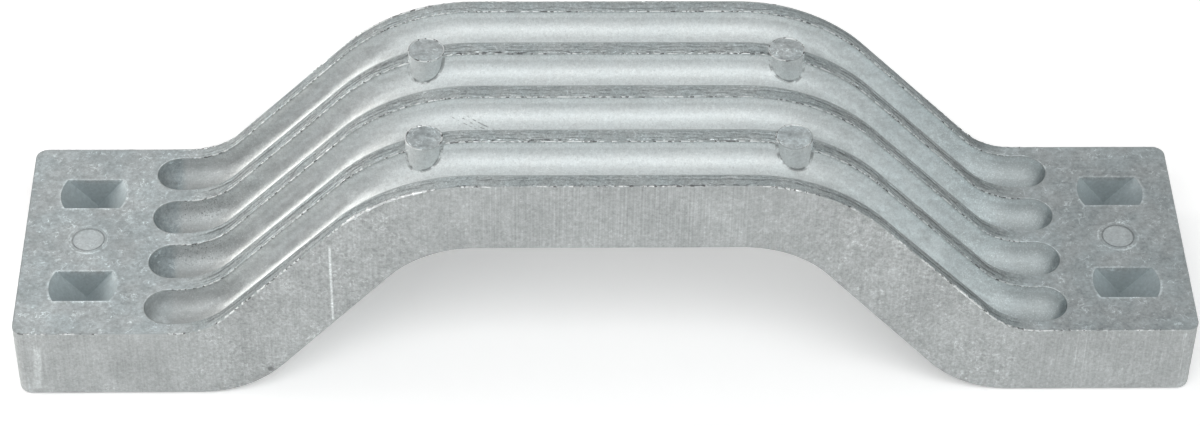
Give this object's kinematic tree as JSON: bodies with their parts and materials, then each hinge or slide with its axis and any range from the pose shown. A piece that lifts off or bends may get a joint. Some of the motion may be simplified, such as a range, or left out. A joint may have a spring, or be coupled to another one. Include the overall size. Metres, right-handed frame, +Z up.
{
  "type": "sacrificial anode",
  "caption": "Bridge-shaped cast zinc bar anode: flat pads at both ends, two slopes and a raised crown, with half-round flutes, ejector pegs and blind pockets in its top.",
  "frame": {"origin": "bottom centre of the casting, midway between its two flat feet, in the plane they stand on", "axes": "+X along the bar, +Y across it to the back, +Z up, away from the feet"},
  "size_m": [0.23, 0.054, 0.0555],
  "materials": {
    "zinc": "as-cast satin grey zinc"
  },
  "bodies": {
    "root": {"anode_casting": "zinc"}
  },
  "joints": []
}
